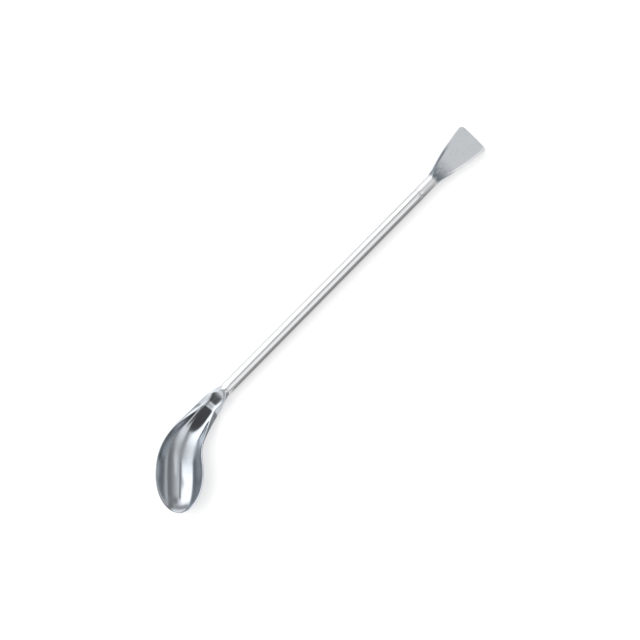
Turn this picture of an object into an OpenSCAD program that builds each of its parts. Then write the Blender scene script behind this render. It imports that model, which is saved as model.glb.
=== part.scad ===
// Lab spatula forged from one stainless steel rod: a spoon bowl, turned to one side, at one end of the
// rod and a wedge-shaped flat blade at the other. It lies on the rod and on the belly of the bowl, with
// the rod along X, the blade at +X and the hollow of the bowl facing up.

/* [Overall] */
// Length along the rod, from the bowl's furthest edge to the end of the blade
overall_l = 180; // [150:1:240]

/* [Rod] */
// Diameter of the drawn rod
rod_d = 5; // [4:0.1:6]
// Step in radius where the forging dies stopped and the drawn rod begins
die_step = 0.08; // [0.04:0.01:0.2]

/* [Bowl] */
// Width across the bowl's rim
bowl_w = 18; // [14:0.5:22]
// Distance from the bowl's widest place to its tip
bowl_tip_l = 14.5; // [10:0.5:18]
// Depth of the bowl at its widest place, measured at the middle of the wall
bowl_depth = 6; // [3:0.1:7]
// Thickness of the bowl's wall
bowl_wall = 0.9; // [0.6:0.05:1.4]

/* [Neck] */
// Length of the neck from the rod to where the bowl's turn starts
neck_l = 20.4; // [17:0.1:26]
// Distance from the rod to where the neck bends
neck_bend_start = 3.5; // [1:0.5:6]
// Length of the neck's bend
neck_bend_l = 6; // [4:0.5:10]
// Angle that the neck is bent away from the rod
neck_angle = 8; // [0:0.5:14]
// Width of the neck where it has been pressed flat
neck_w = 6.6; // [6:0.1:8]
// Length over which the round rod spreads to the neck's width
neck_spread_l = 5; // [3:0.5:8]
// Length over which the rod is pressed down to the thickness of the bowl's wall
neck_press_l = 22; // [16:1:28]
// Distance from the rod to where the bowl's hollow starts
hollow_start = 2; // [1:0.5:6]
// Radius of the turn between neck and bowl
turn_r = 21.4; // [16:0.1:30]
// Angle that the bowl is turned away from the rod
turn_angle = 44; // [20:1:50]
// Length of the bowl past the end of the turn
bowl_straight_l = 18; // [16:0.5:24]

/* [Blade] */
// Length of the blade, from where it starts to spread to its end
blade_l = 22.3; // [18:0.1:32]
// Width across the blade's rounded corners
blade_w = 13.2; // [11:0.2:18]
// Thickness of the blade at its end
blade_t = 0.9; // [0.6:0.05:1.5]
// Slope of each flat face of the blade to the axis of the rod
blade_slope = 4; // [3:0.1:5]
// Length of the flat faces, from the end of the blade
blade_flat_l = 15; // [10:0.5:17]
// Radius of the hollow between the round rod and each flat face
heel_r = 70; // [40:1:90]
// Radius of the blade's corners
corner_r = 1.7; // [0.5:0.1:2.5]
// Radius of the curve where the blade starts to spread
spread_r = 10; // [5:1:25]
// Radius of the blade's long sides, which bow outwards
side_r = 90; // [80:5:300]
// Length of forged round shank between the drawn rod and the blade
shank_l = 7.3; // [4:0.1:12]

/* [Hidden] */
// Exponent of the bowl's hollow across its width: 2 is a parabola, more is flatter in the middle
hollow_power = 2.2;
// Exponent of the hollow's rise to the tip
tip_power = 0.8;
// Exponents of the section's outline: 2 is round, more is squarer at the edges
round_edge = 2;
rim_edge = 4;
// Exponent of the thinning of the wall at the very tip
tip_edge = 8;
// Stations along the neck, stations along the tip, and points round each section
neck_steps = 64;
tip_steps = 20;
section_points = 48;
// Segments of a full turn in the arcs of the turned profile and of the pressing dies
arc_fn = 720;
// Length of the forged neck that runs inside the rod
root_l = 1.5;

rod_r = rod_d / 2;
forged_r = rod_r - die_step;
turn_l = turn_r * (turn_angle - neck_angle) * PI / 180;
spine_l = neck_l + turn_l + bowl_straight_l;
widest_s = spine_l - bowl_tip_l;
rim_z = bowl_depth + bowl_wall / 2 - rod_r;

// Eased step from 0 to 1 as x goes from 0 to 1
function ease(x) = let (c = max(0, min(1, x))) c * c * (3 - 2 * c);

// Half a cosine wave from 0 to 1 as x goes from 0 to 1
function swell(x) = (1 - cos(180 * max(0, min(1, x)))) / 2;

// Share of the way from the widest place to the tip
function tip_share(s) = max(0, min(1, (s - widest_s) / bowl_tip_l));

// Legs of the centre line seen from above, each with its length and the angle turned along it
legs = [
    [neck_bend_start, 0],
    [neck_bend_l, neck_angle],
    [neck_l - neck_bend_start - neck_bend_l, 0],
    [turn_l, turn_angle - neck_angle],
    [bowl_straight_l, 0]];

// Heading of the centre line, turned away from the rod, at distance s along it
function heading(s, leg = 0) =
    let (l = legs[leg][0])
    let (here = legs[leg][1] * max(0, min(1, s / l)))
    leg + 1 < len(legs) && s > l ? here + heading(s - l, leg + 1) : here;

// Centre line seen from above at distance s along it, found leg by leg: the chord of an arc lies halfway
// between the headings at its ends
function spine(s, leg = 0, a = 0) =
    let (l = legs[leg][0])
    let (last = leg + 1 == len(legs))
    let (way = last ? s : min(s, l))
    let (turned = legs[leg][1] * way / l)
    let (half = turned / 2)
    let (chord = half == 0 ? way : way * sin(half) / (half * PI / 180))
    let (step = -chord * [cos(a + half), sin(a + half)])
    last || s <= l ? step : step + spine(s - l, leg + 1, a + turned);

// Half the width of the section: the rod, spread to the neck, swelling to the bowl, with an elliptic tip
function half_width(s) =
    let (neck = forged_r + (neck_w / 2 - forged_r) * ease(s / neck_spread_l))
    let (bowl = (bowl_w - neck_w) / 2 * swell((s - neck_spread_l) / (widest_s - neck_spread_l)))
    (neck + bowl) * sqrt(1 - pow(tip_share(s), 2));

// Half the thickness of the section, from the round rod down to the wall, and to nothing at the very tip
function half_thickness(s) =
    let (pressed = forged_r + (bowl_wall / 2 - forged_r) * ease(s / neck_press_l))
    pressed * pow(1 - pow(tip_share(s), tip_edge), 1 / tip_edge);

// Share of the full hollow: none at the rod, all of it at the widest place, none at the tip
function hollow(s) =
    ease((s - hollow_start) / (widest_s - hollow_start)) * pow(1 - pow(tip_share(s), 2), tip_power);

// Height of the rim: the axis of the rod at first, level all along the bowl
function rim_height(s) = rim_z * ease((s - hollow_start) / (widest_s - hollow_start));

// Exponent of the section's outline, which the dies square up while the rod spreads
function edge_power(s) = round_edge + (rim_edge - round_edge) * ease(s / neck_spread_l);

// Point of the section at distance s along the centre line and angle phi round it: a squared ellipse
// that is bent up at both sides by the hollow, its thickness laid square to the bent middle line
function section_point(s, phi) =
    let (u = cos(phi))
    let (w = half_width(s))
    let (d = bowl_depth * hollow(s))
    let (n = edge_power(s))
    let (offset = half_thickness(s) * sign(sin(phi)) * pow(max(0, 1 - pow(abs(u), n)), 1 / n))
    let (slope = d * hollow_power * pow(abs(u), hollow_power - 1) * sign(u) / w)
    let (tilt = atan(slope))
    let (across = w * u - offset * sin(tilt))
    let (up = rim_height(s) - d * (1 - pow(abs(u), hollow_power)) + offset * cos(tilt))
    let (a = heading(s))
    let (c = spine(s))
    [c.x - across * sin(a), c.y + across * cos(a), up];

// Distances along the centre line at which sections are taken, closer together towards the tip
stations = concat(
    [-root_l],
    [for (i = [0 : neck_steps]) widest_s * i / neck_steps],
    [for (i = [1 : tip_steps - 1]) widest_s + bowl_tip_l * sin(90 * i / tip_steps)]);
section_rings = [for (s = stations) for (k = [0 : section_points - 1]) section_point(s, 360 * k / section_points)];
tip_point = concat(spine(spine_l), [rim_z]);
bowl_points = concat(section_rings, [tip_point]);

bowl_reach = -min([for (p = bowl_points) p.x]);
side_reach = -min([for (p = bowl_points) p.y]);
far_side_reach = max(blade_w / 2, max([for (p = bowl_points) p.y]));
rod_l = overall_l - bowl_reach - shank_l - blade_l;
blade_start = rod_l + shank_l;
blade_end = blade_start + blade_l;

// Centres of the arcs of the blade's outline: where it starts to spread, its corner and, touching both of
// those, its long side
spread_centre = [blade_start, forged_r + spread_r];
corner_centre = [blade_end - corner_r, blade_w / 2 - corner_r];
side_centre =
    let (gap = corner_centre - spread_centre)
    let (d = norm(gap))
    let (to_spread = side_r + spread_r, to_corner = side_r - corner_r)
    let (along = (to_spread * to_spread - to_corner * to_corner + d * d) / (2 * d))
    spread_centre + (along * gap + sqrt(to_spread * to_spread - along * along) * [gap.y, -gap.x]) / d;

// Points where the long side meets the spread and the corner
function side_point(towards) =
    let (way = towards - side_centre)
    side_centre + side_r * way / norm(way);
spread_end = side_point(spread_centre);
corner_start = side_point(corner_centre);

// Bowl and neck, swept along the centre line as one skin closed at the tip
module bowl() {
    n = section_points;
    last = (len(stations) - 1) * n;
    sides = [for (i = [0 : len(stations) - 2]) for (k = [0 : n - 1]) for (half = [0, 1])
        let (a = i * n + k, b = i * n + (k + 1) % n)
        half == 0 ? [a, b, b + n] : [a, b + n, a + n]];
    tip = [for (k = [0 : n - 1]) [last + k, last + (k + 1) % n, last + n]];
    root = [[for (k = [0 : n - 1]) n - 1 - k]];
    polyhedron(points = bowl_points, faces = concat(root, sides, tip));
}

// Half of the outline of the rod, shank and blade seen from above, with the axis along X; the shank runs on
// through the blade, and each area overlaps the next
module half_outline() {
    square([rod_l, rod_r]);
    square([corner_start.x, forged_r]);
    difference() {
        translate([blade_start, 0])
            square([spread_end.x - blade_start, blade_w / 2]);
        translate(spread_centre)
            circle(r = spread_r, $fn = arc_fn);
    }
    intersection() {
        translate([blade_start, 0])
            square([corner_start.x - blade_start, blade_w / 2]);
        translate(side_centre)
            circle(r = side_r, $fn = arc_fn);
    }
    translate([corner_start.x - corner_r, 0])
        square([blade_end - corner_start.x + corner_r, corner_centre.y]);
    translate(corner_centre)
        circle(r = corner_r, $fn = arc_fn);
}

// Rod, shank and blade as turned round the axis, before the blade is pressed flat
module turned_stock() {
    rotate([0, 90, 0])
        rotate_extrude($fn = 96)
            mirror([1, -1])
                half_outline();
}

// Space between the pressing dies seen from the side: open round the rod, hollow at the heel, then a wedge
module die_space() {
    clear_r = rod_d;
    overrun = blade_t;
    flat_start = blade_end - blade_flat_l;
    flat_z = blade_t / 2 + blade_flat_l * tan(blade_slope);
    heel = [flat_start + heel_r * sin(blade_slope), flat_z + heel_r * cos(blade_slope)];
    rotate([90, 0, 0])
        linear_extrude(height = 2 * blade_w, center = true) {
            difference() {
                translate([-clear_r, -clear_r])
                    square([flat_start + clear_r, 2 * clear_r]);
                for (side = [1, -1])
                    translate([heel.x, side * heel.y])
                        circle(r = heel_r, $fn = arc_fn);
            }
            polygon([
                [flat_start, flat_z],
                [blade_end + overrun, blade_t / 2 - overrun * tan(blade_slope)],
                [blade_end + overrun, overrun * tan(blade_slope) - blade_t / 2],
                [flat_start, -flat_z]]);
        }
}

// The whole spatula, lying on the rod and the bowl's belly, centred over the middle of its own outline
module spatula() {
    color([0.76, 0.78, 0.80])
        translate([bowl_reach - overall_l / 2, (side_reach - far_side_reach) / 2, rod_r]) {
            intersection() {
                turned_stock();
                die_space();
            }
            bowl();
        }
}

spatula();
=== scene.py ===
import math

import bpy
import numpy as np
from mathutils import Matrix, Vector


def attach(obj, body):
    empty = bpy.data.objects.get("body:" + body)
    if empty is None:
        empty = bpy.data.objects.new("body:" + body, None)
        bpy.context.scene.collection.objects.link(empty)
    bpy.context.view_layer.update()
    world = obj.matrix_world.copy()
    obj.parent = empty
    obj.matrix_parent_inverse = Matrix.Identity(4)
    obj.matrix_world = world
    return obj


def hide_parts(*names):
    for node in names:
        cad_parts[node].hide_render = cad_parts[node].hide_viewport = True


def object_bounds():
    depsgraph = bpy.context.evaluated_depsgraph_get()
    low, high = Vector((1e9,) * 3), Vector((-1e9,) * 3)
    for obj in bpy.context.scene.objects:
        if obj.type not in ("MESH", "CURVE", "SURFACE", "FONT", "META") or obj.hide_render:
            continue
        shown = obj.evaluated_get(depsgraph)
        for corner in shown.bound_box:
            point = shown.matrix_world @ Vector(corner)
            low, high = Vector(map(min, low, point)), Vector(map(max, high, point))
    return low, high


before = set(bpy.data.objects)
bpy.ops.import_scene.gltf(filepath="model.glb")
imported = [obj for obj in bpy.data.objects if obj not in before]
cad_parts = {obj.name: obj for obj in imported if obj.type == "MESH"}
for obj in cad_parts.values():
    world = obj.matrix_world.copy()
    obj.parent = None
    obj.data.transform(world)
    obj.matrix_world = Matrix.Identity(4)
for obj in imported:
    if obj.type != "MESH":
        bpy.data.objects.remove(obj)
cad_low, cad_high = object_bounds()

# One millimetre in metres
MM = 0.001

# Sizes of the construction: lengths in millimetres, angles turned into radians
# Rod: its radius, the step at its ends where the dies stopped, and the round shank after it
ROD_R = 2.5
DIE_STEP = 0.08
SHANK_L = 7.3
# Neck: its length, the bend in it, its width, and how far along it spreads and is pressed down
NECK_L = 20.4
NECK_BEND_START = 3.5
NECK_BEND_L = 6.0
NECK_ANGLE = math.radians(8)
NECK_W = 6.6
NECK_SPREAD_L = 5.0
NECK_PRESS_L = 22.0
# Bowl: where its hollow starts, its turn to the side, and its own sizes
HOLLOW_START = 2.0
TURN_R = 21.4
TURN_ANGLE = math.radians(44)
BOWL_STRAIGHT_L = 18.0
BOWL_TIP_L = 14.5
BOWL_W = 18.0
BOWL_DEPTH = 6.0
BOWL_WALL = 0.9
# Blade: its sizes and the slope of its flats, then the radii of its heel and of the arcs of its outline
BLADE_L = 22.3
BLADE_W = 13.2
BLADE_T = 0.9
BLADE_SLOPE = math.radians(4)
BLADE_FLAT_L = 15.0
HEEL_R = 70.0
SPREAD_R = 10.0
SIDE_R = 90.0
CORNER_R = 1.7

# Powers of the construction's curves: the hollow across and towards the tip, and the wall's edge at the rod,
# along the rim and at the tip, which is squarer the higher its power
HOLLOW_POWER = 2.2
TIP_POWER = 0.8
ROUND_EDGE = 2.0
RIM_EDGE = 4.0
TIP_EDGE = 8.0

# Fine forms of rod and blade: eased die steps, rounded arrises, and a rolled right edge whose radius is a
# share of the half thickness
STEP_SLOPE_L = 0.25
HEEL_ARRIS_R = 0.12
END_ARRIS_R = 0.28
ROLLED_SHARE = 0.85
ROLL_FADE_L = 4.0

# Fine forms of the neck: what makes its edge squarer than the rim's, the dip on top next to the rod, and the
# flat-floored ramp that leads into the bowl
NECK_FLAT_EDGE = 6.0
NECK_FLAT_END = 14.0
NECK_FLAT_FADE = 12.0
DIP_START = 1.0
DIP_L = 6.0
DIP_RISE_L = 3.0
DIP_DEPTH = 0.25
RAMP_START = 10.0
RAMP_L = 11.0
RAMP_RISE_L = 10.0
RAMP_DEPTH = 0.35
RAMP_POWER = 2.5
RAMP_FADE_L = 16.0

# Grid of the skin: points round each ring, a multiple of four, and rings along each stretch
RING = 160
TIP_RINGS = 56
NECK_RINGS = 190
STEP_RINGS = 7
ROD_RINGS = 45
SHANK_RINGS = 16
HEEL_RINGS = 60
FLAT_RINGS = 34
CORNER_RINGS = 20
# Share of a quarter turn at which the tip's first ring lies
TIP_SHARE = 0.985
# How many times over an arris counts when a ring's points are shared out
ARRIS_SHARE = 6.0
# Height within which a point counts as lying on the blade's flat, in millimetres
FLAT_REACH = 0.02
# Digits that the places of rings are rounded to, and an amount too small to see
PLACE_DIGITS = 6
TINY = 1e-9
# Name of the mesh's value for how far to the side a point of the blade lies
SIDE_VALUE = "blade_side"

# What follows from the sizes
FORGED_R = ROD_R - DIE_STEP
TURN_L = TURN_R * (TURN_ANGLE - NECK_ANGLE)
SPINE_L = NECK_L + TURN_L + BOWL_STRAIGHT_L
WIDEST_S = SPINE_L - BOWL_TIP_L
RIM_Z = BOWL_DEPTH + BOWL_WALL / 2 - ROD_R

# Zones of the steel along the rod, in millimetres: the two ends of each rise or fade. The bowl's are counted
# from the rod's end at the neck, the shank's from the rod's other end, the blade's from the shank's end.
BOWL_FADE = (-2.0, 0.0)
SHANK_RISE = (-0.2, 2.5)
BLADE_RISE = (-0.6, 1.2)
# The heel, the U where the flat starts and the left edge are zones of painted shade on the blade
HEEL_FADE = (0.5, 10.0)
MOUTH_FADE = (2.0, 7.0)
LEFT_EDGE_FADE = (9.0, 15.0)

# Zones across the blade, in half widths of its flat: painted shade on the left edge and on the U where the
# flat starts, a painted reflection on the right edge; then the noise over which the heel's painted shade
# rises in mottles
LEFT_EDGE_RISE = (0.76, 0.90)
MOUTH_RISE = (0.70, 1.0)
PALE_EDGE_REFLECTION_RISE = (0.78, 0.88)
SHADE_MOTTLE_RISE = (0.20, 0.55)

# Darker, rougher patch in the upper bowl, in millimetres: its middle, counted from the rod's end at the neck,
# and its reach
DULL_PATCH_X = -27.0
DULL_PATCH_Y = -5.4
DULL_PATCH_R = 7.5

# Grain of the steel: waves a millimetre along x, y and z, then the noise's detail and roughness
STREAK_GRAIN = ((0.06, 3.0, 3.0), 3.0, 0.6)
FINE_GRAIN = ((0.5, 9.0, 9.0), 2.0, 0.5)
LAPPED_GRAIN = ((2.4, 2.4, 2.4), 3.0, 0.6)
BROAD_GRAIN = ((0.22, 0.22, 0.22), 2.0, 0.5)
# The last noise only mottles the heel's painted shade
SHADE_MOTTLE_GRAIN = ((0.45, 0.9, 0.9), 4.0, 0.65)
# Levels of the noise that leave the roughness as it is, and the streaks' share in the clouds of the tone
NOISE_MIDDLE = 0.5
LAPPED_LOW = 0.3
STREAK_SHARE = 0.4

# Roughness of each zone, and how much the grain and the dull patch change it
ROD_ROUGH = 0.20
SHANK_ROUGH = 0.36
BLADE_ROUGH = 0.28
BOWL_ROUGH = 0.12
STREAK_ROUGH = 0.06
BROAD_ROUGH = 0.05
LAPPED_ROUGH = 0.05
DULL_PATCH_ROUGH = 0.20

# Heights of the grain, in millimetres
FINE_HEIGHT = 0.002
STREAK_HEIGHT = 0.003
LAPPED_HEIGHT = 0.008

# Linear tones of the steel, the pairs from darker to lighter, and how strongly marks cover what is below
POLISHED_TONES = ((0.66, 0.665, 0.675, 1), (0.72, 0.725, 0.735, 1))
SCOURED_TONES = ((0.465, 0.495, 0.53, 1), (0.525, 0.555, 0.59, 1))
SATIN_TONES = ((0.57, 0.60, 0.63, 1), (0.69, 0.71, 0.735, 1))
# Darker tone of the patch in the upper bowl, which dims the highlight there
DULL_PATCH_TONE = (0.22, 0.235, 0.25, 1)
# Painted reflection: the lighter tone of the blade's right edge, standing in for the pale floor it mirrors
PALE_EDGE_REFLECTION_TONE = (0.84, 0.85, 0.86, 1)
# Painted shade: the darker tone of the blade's heel, left edge and the U where the flat starts, standing in
# for the dark they mirror
PAINTED_SHADE_TONE = (0.15, 0.175, 0.205, 1)
DULL_PATCH_STRENGTH = 0.55
# How strongly the painted shade covers the edges and the heel
EDGE_SHADE_STRENGTH = 0.85
HEEL_SHADE_STRENGTH = 0.95

# Floor: half its width in metres, its finish, its faint glow, and its tone where the rod mirrors it dimmed
FLOOR_HALF = 3.0
FLOOR_GRAIN = ((0.9, 0.9, 0.9), 2.0, 0.5)
FLOOR_TONES = ((0.915, 0.915, 0.915, 1), (0.925, 0.925, 0.925, 1))
FLOOR_ROUGH = 0.9
GLOW = 0.34
GLOW_TONE = (1, 1, 1, 1)
DIMMED_TONE = (0.29, 0.29, 0.29, 1)
# Half the length, in millimetres, over which the dimmed stretch fades at its ends
DIM_FADE = 2.0

# Camera: its turn about the vertical, the place below it and the width of its view at the rod's axis, both
# in metres, then lens and sensor in millimetres
CAMERA_TURN = math.radians(-45.4)
CAMERA_CENTRE = (0.26 * MM, 0.78 * MM)
VIEW_W = 240.9 * MM
LENS = 100.0
SENSOR = 36.0

# Soft panels of the light tent, painted one over the other. The place of a direction on the tent is its
# sideways part divided by one plus its upward part: 0 overhead, 1 at the horizon, with right and up as in
# the picture. Each panel: middle right, middle up, turn in degrees, half length, half width, softness, light.
PANELS = [
    (0.75, 0.30, 0, 0.50, 0.75, 0.60, 0.30),
    (0.40, 0.47, 0, 0.33, 0.08, 0.14, 0.36),
    (0.95, 0.25, 0, 0.27, 0.80, 0.10, 0.75),
    (0.00, 0.95, 0, 0.90, 0.16, 0.10, 1.30),
    (-0.54, 0.23, 0, 0.46, 0.33, 0.20, 2.05),
    (-0.20, 0.67, 0, 0.45, 0.08, 0.08, 0.50),
    (0.70, -0.70, -45, 0.30, 0.80, 0.16, 0.36),
    (0.27, -0.27, -45, 0.25, 0.12, 0.14, 1.25),
    (-0.21, -0.46, -4, 0.15, 0.35, 0.05, 0.09),
    (0.03, -0.52, -4, 0.11, 0.21, 0.05, 0.09),
    (-0.04, 0.04, -45, 0.20, 0.05, 0.16, 0.78),
    (-0.03, 0.14, 0, 0.034, 0.29, 0.04, 0.28),
]
# Light of the tent outside the panels, its tone seen directly, and the least that a place is divided by
CEILING = 1.0
BACKDROP = 0.9
LEAST_LIFT = 0.2


# Form of the skin

def ease(x):
    """Eased step: 3c^2 - 2c^3, where c is x held between 0 and 1."""
    c = np.clip(x, 0, 1)
    return c * c * (3 - 2 * c)


def swell(x):
    """Half a cosine wave: (1 - cos(pi c)) / 2, where c is x held between 0 and 1."""
    return (1 - np.cos(np.pi * np.clip(x, 0, 1))) / 2


def spine(s):
    """Centre line seen from above at distances s: its x, its y and its heading turned away from the rod.

    It is a chain of straight legs and arcs. The chord of an arc lies halfway between the headings at its ends
    and is the arc's length times sin(h) / h, where h is half the angle between them.
    """
    legs = [(NECK_BEND_START, 0.0),
            (NECK_BEND_L, NECK_ANGLE),
            (NECK_L - NECK_BEND_START - NECK_BEND_L, 0.0),
            (TURN_L, TURN_ANGLE - NECK_ANGLE),
            (BOWL_STRAIGHT_L, 0.0)]
    x, y, heading, left = 0.0, 0.0, 0.0, s
    for length, angle in legs:
        way = np.clip(left, 0, length)
        half = angle * way / length / 2
        chord = way * np.sinc(half / np.pi)
        x = x - chord * np.cos(heading + half)
        y = y - chord * np.sin(heading + half)
        heading = heading + 2 * half
        left = left - length
    return x, y, heading


def bowl_rings(s, phi):
    """Rings of the bowl and neck at distances s along the centre line and angles phi round it.

    Across the centre line, with u = cos(phi), a middle line bends to depth * (1 - |u|^p) below the rim, and
    the wall lies t (1 - |u|^n)^(1/n) above and below it, square to it. The half width goes from the rod's to
    the neck's in an eased step, on to the bowl's in half a cosine wave, and closes at the tip as an ellipse.
    Depth, half thickness t and edge power n also go from the rod's to the bowl's in eased steps, and depth
    and thickness close at the tip as well. The power p starts high, for the ramp's flat floor, and falls to
    the hollow's. The dip and the ramp each sink in an eased step and rise in another, and lower only the
    upper face, by 1 - |u|^r of their depth, where r is the rim's edge power.
    """
    s, phi = s[:, None], phi[None, :]
    mid_x, mid_y, turned_by = spine(s)
    tip = np.clip((s - WIDEST_S) / BOWL_TIP_L, 0, 1)
    pressed = ease(s / NECK_PRESS_L)
    sunk = ease((s - HOLLOW_START) / (WIDEST_S - HOLLOW_START))
    spread = ease(s / NECK_SPREAD_L)
    neck = FORGED_R + (NECK_W / 2 - FORGED_R) * spread
    flare = (BOWL_W - NECK_W) / 2 * swell((s - NECK_SPREAD_L) / (WIDEST_S - NECK_SPREAD_L))
    width = (neck + flare) * np.sqrt(1 - tip ** 2)
    thick = (FORGED_R + (BOWL_WALL / 2 - FORGED_R) * pressed) * (1 - tip ** TIP_EDGE) ** (1 / TIP_EDGE)
    depth = BOWL_DEPTH * sunk * (1 - tip ** 2) ** TIP_POWER

    flattened = 1 - ease((s - NECK_FLAT_END) / NECK_FLAT_FADE)
    edge = ROUND_EDGE + (RIM_EDGE + NECK_FLAT_EDGE * flattened - ROUND_EDGE) * spread
    bend = HOLLOW_POWER + RAMP_POWER * (1 - ease((s - RAMP_START) / RAMP_FADE_L))
    u = np.cos(phi)
    size_u = np.abs(u)
    offset = thick * np.sign(np.sin(phi)) * np.maximum(0, 1 - size_u ** edge) ** (1 / edge)
    tilt = np.arctan(depth * bend * size_u ** (bend - 1) * np.sign(u) / width)
    across = width * u - offset * np.sin(tilt)
    up = RIM_Z * sunk - depth * (1 - size_u ** bend) + offset * np.cos(tilt)

    dip = ease((s - DIP_START) / DIP_L) - ease((s - DIP_START - DIP_L) / DIP_RISE_L)
    ramp = ease((s - RAMP_START) / RAMP_L) - ease((s - RAMP_START - RAMP_L) / RAMP_RISE_L)
    up = up - (DIP_DEPTH * dip + RAMP_DEPTH * ramp) * (1 - size_u ** RIM_EDGE) * (offset > 0)
    x = mid_x - across * np.sin(turned_by)
    y = mid_y + across * np.cos(turned_by)
    return np.stack([x, y, up], axis=2)


def circle_gap(a, radius_a, b, radius_b):
    """Centre at those distances from points a and b, on the right hand going from a to b.

    Along the line from a, over its length d, it lies (ra^2 - rb^2 + d^2) / 2d, and square to the line the
    root of what is left of ra^2.
    """
    gap = b - a
    length = np.hypot(*gap)
    along = (radius_a ** 2 - radius_b ** 2 + length ** 2) / (2 * length)
    beside = math.sqrt(radius_a ** 2 - along ** 2)
    return a + (along * gap + beside * np.array([gap[1], -gap[0]])) / length


def outline(x, rod_l):
    """Half width of rod, shank and blade at x: rod, eased step, shank, spread arc, side arc, corner arc.

    The arcs touch where they meet. On each, the half width is its centre's plus or minus the root of
    r^2 - (x - centre)^2.
    """
    start = rod_l + SHANK_L
    end = start + BLADE_L
    spread = np.array([start, FORGED_R + SPREAD_R])
    corner = np.array([end - CORNER_R, BLADE_W / 2 - CORNER_R])
    side = circle_gap(spread, SIDE_R + SPREAD_R, corner, SIDE_R - CORNER_R)
    spread_end = side[0] + SIDE_R * (spread - side)[0] / np.hypot(*(spread - side))
    corner_start = side[0] + SIDE_R * (corner - side)[0] / np.hypot(*(corner - side))

    def arc(centre, radius, sign):
        return centre[1] + sign * np.sqrt(np.maximum(0, radius ** 2 - (x - centre[0]) ** 2))

    on_rod = ease(x / STEP_SLOPE_L) * ease((rod_l - x) / STEP_SLOPE_L)
    return np.select(
        [x <= start, x <= spread_end, x <= corner_start],
        [FORGED_R + DIE_STEP * on_rod, arc(spread, SPREAD_R, -1), arc(side, SIDE_R, 1)],
        arc(corner, CORNER_R, 1))


def die_height(x, end):
    """Half height between the dies at x: a hollow arc at the heel, then a straight wedge, rounded at its end.

    The arc touches the wedge where the flat starts. The rounding takes r - root of (r^2 - d^2) away, where d
    is how far x lies inside the last r before the end.
    """
    flat_start = end - BLADE_FLAT_L
    flat_z = BLADE_T / 2 + BLADE_FLAT_L * math.tan(BLADE_SLOPE)
    heel_x = flat_start + HEEL_R * math.sin(BLADE_SLOPE)
    heel_z = flat_z + HEEL_R * math.cos(BLADE_SLOPE)
    arc = heel_z - np.sqrt(np.maximum(0, HEEL_R ** 2 - (x - heel_x) ** 2))
    wedge = BLADE_T / 2 + (end - x) * math.tan(BLADE_SLOPE)
    inside = np.clip(x - end + END_ARRIS_R, 0, END_ARRIS_R)
    rounded = END_ARRIS_R - np.sqrt(END_ARRIS_R ** 2 - inside ** 2)
    return np.where(x < flat_start, arc, wedge) - rounded


def blade_rings(x, phi, rod_l):
    """Rings of rod, shank and blade: a circle cut off above and below by the dies, with rounded arrises.

    In each quarter the ring runs along the circle, round the arris and along the flat, its points shared
    out by length with the arris counted several times over. The arris is an arc that touches the circle from
    inside and the flat from below. On the right edge its radius grows from the shank on, in an eased step, to
    a share of the half thickness, which rolls that edge.
    """
    end = rod_l + SHANK_L + BLADE_L
    circle = outline(x, rod_l)[:, None]
    flat = np.minimum(die_height(x, end)[:, None], circle)
    sharp = np.interp(x, [end - BLADE_L, end], [HEEL_ARRIS_R, END_ARRIS_R])[:, None]
    rolled = sharp + (ROLLED_SHARE * flat - sharp) * ease((x[:, None] - end + BLADE_L) / ROLL_FADE_L)
    arris = np.where(np.cos(phi)[None, :] < 0, rolled, sharp)
    leave = np.arcsin((flat - arris) / (circle - arris))
    arris_y = np.sqrt(np.maximum(0, (circle - arris) ** 2 - (flat - arris) ** 2))

    quarter = np.pi / 2
    circle_l = circle * leave
    arris_l = ARRIS_SHARE * arris * (quarter - leave)
    total = circle_l + arris_l + arris_y
    first = circle_l / total
    second = (circle_l + arris_l) / total
    folded = np.mod(phi, np.pi)
    way = (np.minimum(folded, np.pi - folded) / quarter)[None, :]
    on_circle = leave * way / first
    on_arris = leave + (quarter - leave) * np.clip((way - first) / (second - first + TINY), 0, 1)
    on_flat = np.clip((1 - way) / (1 - second + TINY), 0, 1)
    leg = [way <= first, way <= second]
    y = np.select(leg, [circle * np.cos(on_circle), arris_y + arris * np.cos(on_arris)], arris_y * on_flat)
    z = np.select(leg, [circle * np.sin(on_circle), flat - arris + arris * np.sin(on_arris)], flat)
    side = np.sign(np.cos(phi))[None, :]
    rise = np.sign(np.sin(phi))[None, :]
    return np.stack([np.broadcast_to(x[:, None], y.shape), y * side, z * rise], axis=2)


def bowl_stations():
    """Distances along the centre line at which bowl and neck have rings, from the tip to the rod.

    Past the widest place they go with the sine of an even angle, so that they crowd together at the tip.
    """
    angle = np.linspace(TIP_SHARE * np.pi / 2, 0, TIP_RINGS, endpoint=False)
    tip = WIDEST_S + BOWL_TIP_L * np.sin(angle)
    return np.concatenate([tip, np.linspace(WIDEST_S, 0, NECK_RINGS)])


def rod_stations(rod_l):
    """Places x at which rod, shank and blade have rings, from the neck to the blade's end.

    They are even within each stretch, and in the corner they go with the sine of an even angle.
    """
    start = rod_l + SHANK_L
    end = start + BLADE_L
    flat_start = end - BLADE_FLAT_L
    step = np.linspace(0, STEP_SLOPE_L, STEP_RINGS)
    x = np.concatenate([
        step[1:],
        np.linspace(STEP_SLOPE_L, rod_l - STEP_SLOPE_L, ROD_RINGS)[1:-1],
        rod_l - step[::-1],
        np.linspace(rod_l, start, SHANK_RINGS)[1:-1],
        np.linspace(start, flat_start, HEEL_RINGS)[:-1],
        np.linspace(flat_start, end - CORNER_R, FLAT_RINGS)[:-1],
        end - CORNER_R * (1 - np.sin(np.linspace(0, np.pi / 2, CORNER_RINGS)))])
    return np.unique(np.round(x, PLACE_DIGITS))


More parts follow.
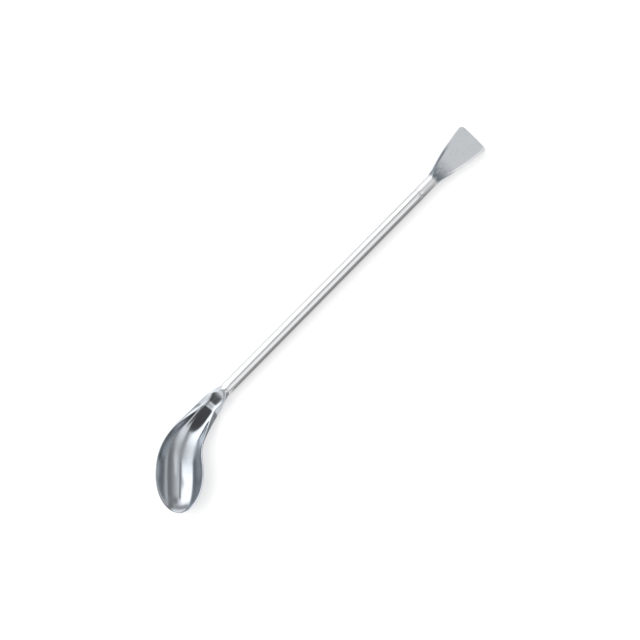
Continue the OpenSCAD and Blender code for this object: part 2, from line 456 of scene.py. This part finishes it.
def skin_faces(count):
    """Faces over that many rings: four-sided ones between rings, a fan to the tip's point, and a flat end."""
    ring, point = np.meshgrid(np.arange(count - 1), np.arange(RING), indexing="ij")
    here = ring * RING
    after = (point + 1) % RING
    sides = np.stack([here + point, here + after, here + RING + after, here + RING + point], axis=-1)
    around = np.arange(RING)
    fan = np.stack([np.full(RING, count * RING), (around + 1) % RING, around], axis=-1)
    end = (count - 1) * RING + around
    return sides.reshape(-1, 4).tolist() + fan.tolist() + [end.tolist()]


def blade_side(rings, rod_l):
    """How far to the side each point of shank and blade lies: its y over the half width of its ring's flat.

    That half width is the largest y among the points at the ring's top. Before the shank the value is 0.
    """
    x, y, z = rings[:, :, 0], rings[:, :, 1], rings[:, :, 2]
    on_top = z > z.max(axis=1, keepdims=True) - FLAT_REACH
    half = np.where(on_top, y, 0).max(axis=1, keepdims=True)
    return np.where(x > rod_l, y / np.maximum(half, FLAT_REACH), 0)


def spatula():
    """One closed skin from the bowl's tip to the end of the blade, put where the CAD's box says.

    It comes with the place of the rod's end at the neck and the rod's length, both in millimetres. The rod's
    length is what the box leaves between the bowl's reach and the blade.
    """
    low = np.array(cad_low) / MM
    high = np.array(cad_high) / MM
    phi = np.linspace(0, 2 * np.pi, RING, endpoint=False)
    bowl = bowl_rings(bowl_stations(), phi)
    apex = bowl_rings(np.array([SPINE_L - TINY]), phi)[0].mean(axis=0)
    reach = -min(bowl[:, :, 0].min(), apex[0])
    rod_l = float(high[0] - low[0] - reach - SHANK_L - BLADE_L)
    rings = np.concatenate([bowl, blade_rings(rod_stations(rod_l), phi, rod_l)])
    place = np.array([low[0] + reach, high[1] - BLADE_W / 2, ROD_R])
    points = np.concatenate([rings.reshape(-1, 3), apex[None]]) + place

    mesh = bpy.data.meshes.new("spatula_skin")
    mesh.from_pydata((points * MM).tolist(), [], skin_faces(len(rings)))
    smooth = np.ones(len(mesh.polygons), dtype=bool)
    smooth[-1] = False
    mesh.polygons.foreach_set("use_smooth", smooth)
    side = np.append(blade_side(rings, rod_l).ravel(), 0.0)
    mesh.attributes.new(SIDE_VALUE, "FLOAT", "POINT").data.foreach_set("value", side)
    mesh.update()
    piece = bpy.data.objects.new("spatula_skin", mesh)
    bpy.context.scene.collection.objects.link(piece)
    return piece, place.tolist(), rod_l


# Shader expressions

class Wire:
    """A node's output socket in a tree. Arithmetic on wires adds Math nodes."""

    def __init__(self, tree, socket=None):
        self.tree = tree
        self.socket = socket

    def node(self, kind, values=None, settings=None, out=0):
        """A new node of that type: its settings first, then values or wires by socket name or number."""
        made = self.tree.nodes.new(kind)
        for name, value in (settings or {}).items():
            setattr(made, name, value)
        for name, value in (values or {}).items():
            if isinstance(value, Wire):
                self.tree.links.new(value.socket, made.inputs[name])
            else:
                made.inputs[name].default_value = value
        return Wire(self.tree, made.outputs[out]) if made.outputs else None

    def math(self, operation, *values):
        """A Math node over these values or wires."""
        return self.node("ShaderNodeMath", dict(enumerate(values)), {"operation": operation})

    def __add__(self, other):
        return self.math("ADD", self, other)

    def __radd__(self, other):
        return self.math("ADD", other, self)

    def __sub__(self, other):
        return self.math("SUBTRACT", self, other)

    def __rsub__(self, other):
        return self.math("SUBTRACT", other, self)

    def __mul__(self, other):
        return self.math("MULTIPLY", self, other)

    def __rmul__(self, other):
        return self.math("MULTIPLY", other, self)

    def __truediv__(self, other):
        return self.math("DIVIDE", self, other)

    def __rtruediv__(self, other):
        return self.math("DIVIDE", other, self)

    def __neg__(self):
        return self.math("MULTIPLY", self, -1)

    def __abs__(self):
        return self.math("ABSOLUTE", self)

    def larger(self, other):
        """The larger of this wire and another."""
        return self.math("MAXIMUM", self, other)

    def distance(self, other):
        """Root of this wire squared plus another squared."""
        return self.math("SQRT", self * self + other * other)

    def rise(self, start, end):
        """0 below start, 1 above end, eased between."""
        return self.node("ShaderNodeMapRange", {"Value": self, "From Min": start, "From Max": end},
                         {"interpolation_type": "SMOOTHSTEP"})

    def fade(self, start, end):
        """1 below start, 0 above end, eased between."""
        return 1 - self.rise(start, end)

    def within(self, half, soft):
        """1 nearer to 0 than half, 0 further off, eased over the length soft."""
        return abs(self).fade(half - soft / 2, half + soft / 2)

    def mix(self, low, high):
        """Blend of two values or wires, low where this wire is 0 and high where it is 1."""
        return low + self * (high - low)

    def colours(self, low, high):
        """Blend of two colours, low where this wire is 0 and high where it is 1.

        A Mix node takes its two colours at sockets 6 and 7 and gives the blend at output 2.
        """
        return self.node("ShaderNodeMix", {"Factor": self, 6: low, 7: high}, {"data_type": "RGBA"}, out=2)

    def axes(self):
        """The three parts of a vector."""
        parts = self.node("ShaderNodeSeparateXYZ", {0: self}).socket.node.outputs
        return [Wire(self.tree, part) for part in parts]

    def stretched(self, scale):
        """This vector with each axis multiplied by its own scale."""
        return self.node("ShaderNodeVectorMath", {0: self, 1: scale}, {"operation": "MULTIPLY"})

    def noise(self, waves, detail, rough):
        """Noise between 0 and 1 on this vector, with so many waves a unit along each axis."""
        return self.node("ShaderNodeTexNoise", {"Vector": self.stretched(waves), "Scale": 1.0,
                                                "Detail": detail, "Roughness": rough})


def new_material(name):
    """An empty node material, the wire its expressions start from, and the place in millimetres."""
    material = bpy.data.materials.new(name)
    material.use_nodes = True
    material.node_tree.nodes.clear()
    start = Wire(material.node_tree)
    return material, start, start.node("ShaderNodeTexCoord", out="Object").stretched((1 / MM,) * 3)


def finish_material(start, values):
    """A Principled surface with these values."""
    surface = start.node("ShaderNodeBsdfPrincipled", values)
    start.node("ShaderNodeOutputMaterial", {"Surface": surface})


# Steel

def steel(place, rod_l):
    """Buffed steel: bright on rod and bowl, satin on the blade, slightly wavy where it was forged.

    Each zone has its own roughness and tone. Streaks along the rod and even noise vary both. Painted shade
    darkens the blade's heel, in mottles, its left edge and the U where its flat starts; a painted reflection
    of the pale floor lightens its right edge; a darker, rougher patch dulls the upper bowl; the fine grain is
    a bump.
    """
    material, start, where = new_material("buffed_steel")
    x, y, _ = where.axes()
    from_neck = x - place[0]
    from_shank = from_neck - rod_l
    from_blade = from_shank - SHANK_L
    bowl = from_neck.fade(*BOWL_FADE)
    shank = from_shank.rise(*SHANK_RISE)
    blade = from_blade.rise(*BLADE_RISE)
    streaks = where.noise(*STREAK_GRAIN)
    fine = where.noise(*FINE_GRAIN)
    lapped = where.noise(*LAPPED_GRAIN)
    broad = where.noise(*BROAD_GRAIN)
    shade_mottle = where.noise(*SHADE_MOTTLE_GRAIN)

    side = start.node("ShaderNodeAttribute", settings={"attribute_name": SIDE_VALUE}, out="Fac")
    # Painted shade: the heel, in mottles, the left edge and the U where the flat starts are darkened
    heel = from_blade.fade(*HEEL_FADE) * shade_mottle.rise(*SHADE_MOTTLE_RISE)
    left_edge_shade = side.rise(*LEFT_EDGE_RISE) * from_blade.fade(*LEFT_EDGE_FADE)
    mouth_shade = abs(side).rise(*MOUTH_RISE) * from_blade.fade(*MOUTH_FADE)
    painted_shade = (EDGE_SHADE_STRENGTH * left_edge_shade.larger(mouth_shade)).larger(HEEL_SHADE_STRENGTH * heel)
    # Painted reflection: the blade's right edge lightened, away from the heel
    pale_edge_reflection = (-side).rise(*PALE_EDGE_REFLECTION_RISE) * (1 - heel)
    # A darker, rougher patch in the upper bowl
    dull_patch = (from_neck - DULL_PATCH_X).distance(y - place[1] - DULL_PATCH_Y).fade(0.0, DULL_PATCH_R)

    plain = bowl.mix(blade.mix(shank.mix(ROD_ROUGH, SHANK_ROUGH), BLADE_ROUGH), BOWL_ROUGH)
    uneven = STREAK_ROUGH * (streaks - NOISE_MIDDLE) + BROAD_ROUGH * (broad - NOISE_MIDDLE)
    scuffed = bowl * (LAPPED_ROUGH * (lapped - LAPPED_LOW) + DULL_PATCH_ROUGH * dull_patch)

    cloud = (1 - STREAK_SHARE) * broad + STREAK_SHARE * streaks
    hollow = (DULL_PATCH_STRENGTH * dull_patch).colours(cloud.colours(*SCOURED_TONES), DULL_PATCH_TONE)
    bright = bowl.colours(cloud.colours(*POLISHED_TONES), hollow)
    edged = pale_edge_reflection.colours(((broad + lapped) / 2).colours(*SATIN_TONES), PALE_EDGE_REFLECTION_TONE)
    tint = blade.colours(bright, painted_shade.colours(edged, PAINTED_SHADE_TONE))

    height = FINE_HEIGHT * fine + STREAK_HEIGHT * streaks + LAPPED_HEIGHT * (bowl + blade) * lapped
    bump = start.node("ShaderNodeBump", {"Height": MM * height, "Strength": 1.0, "Distance": 1.0})
    finish_material(start, {"Base Color": tint, "Roughness": plain + uneven + scuffed, "Metallic": 1.0,
                            "Normal": bump})
    return material


# Stage

def camera():
    """Looks straight down, turned so that the rod runs from lower left to upper right."""
    data = bpy.data.cameras.new("camera")
    data.lens = LENS
    data.sensor_width = SENSOR
    piece = bpy.data.objects.new("camera", data)
    piece.location = (*CAMERA_CENTRE, VIEW_W * LENS / SENSOR + ROD_R * MM)
    piece.rotation_euler = (0, 0, CAMERA_TURN)
    bpy.context.scene.collection.objects.link(piece)
    bpy.context.scene.camera = piece


def floor(place, rod_l):
    """A wide, plain, pale square. What the rod mirrors of it on the side away from the light is dimmer."""
    corners = [(-FLOOR_HALF, -FLOOR_HALF, 0), (FLOOR_HALF, -FLOOR_HALF, 0),
               (FLOOR_HALF, FLOOR_HALF, 0), (-FLOOR_HALF, FLOOR_HALF, 0)]
    mesh = bpy.data.meshes.new("floor")
    mesh.from_pydata(corners, [], [(0, 1, 2, 3)])
    piece = bpy.data.objects.new("floor", mesh)
    bpy.context.scene.collection.objects.link(piece)
    material, start, where = new_material("pale_floor")
    x, y, _ = where.axes()
    from_neck = x - place[0]
    beside = from_neck.rise(-DIM_FADE, DIM_FADE) * (from_neck - rod_l - SHANK_L).fade(-DIM_FADE, DIM_FADE)
    mirrored = start.node("ShaderNodeLightPath", out="Is Glossy Ray")
    dim = mirrored * beside * (place[1] - y).rise(0.0, ROD_R)
    shade = where.noise(*FLOOR_GRAIN).colours(*FLOOR_TONES)
    finish_material(start, {"Base Color": dim.colours(shade, DIMMED_TONE), "Roughness": FLOOR_ROUGH,
                            "Specular IOR Level": 0.0, "Emission Strength": GLOW,
                            "Emission Color": dim.colours(GLOW_TONE, DIMMED_TONE)})
    mesh.materials.append(material)


def turned(right, up, angle):
    """Two wires of a plane, measured along axes that are turned by the angle."""
    cosine, sine = math.cos(angle), math.sin(angle)
    return right * cosine + up * sine, up * cosine - right * sine


def light_tent():
    """World light: an even ceiling with soft panels; seen directly it is a plain pale backdrop."""
    world = bpy.data.worlds.new("light_tent")
    world.use_nodes = True
    world.node_tree.nodes.clear()
    bpy.context.scene.world = world
    start = Wire(world.node_tree)
    dx, dy, dz = start.node("ShaderNodeTexCoord", out="Generated").axes()
    lift = (1 + dz).larger(LEAST_LIFT)
    right, up = (part / lift for part in turned(dx, dy, CAMERA_TURN))
    light = CEILING
    for mid_right, mid_up, turn, half_l, half_w, soft, strength in PANELS:
        along, across = turned(right - mid_right, up - mid_up, math.radians(turn))
        inside = along.within(half_l, soft) * across.within(half_w, soft)
        light = inside.mix(light, strength)
    tent = start.node("ShaderNodeBackground", {"Color": light, "Strength": 1.0})
    plain = start.node("ShaderNodeBackground", {"Color": (BACKDROP, BACKDROP, BACKDROP, 1)})
    direct = start.node("ShaderNodeLightPath", out="Is Camera Ray")
    both = start.node("ShaderNodeMixShader", {0: direct, 1: tent, 2: plain})
    start.node("ShaderNodeOutputWorld", {"Surface": both})


# The scene

skin, skin_place, skin_rod_l = spatula()
skin.data.materials.append(steel(skin_place, skin_rod_l))
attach(skin, "root")
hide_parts("spatula")
floor(skin_place, skin_rod_l)
camera()
light_tent()
bpy.context.scene.view_settings.view_transform = "Standard"
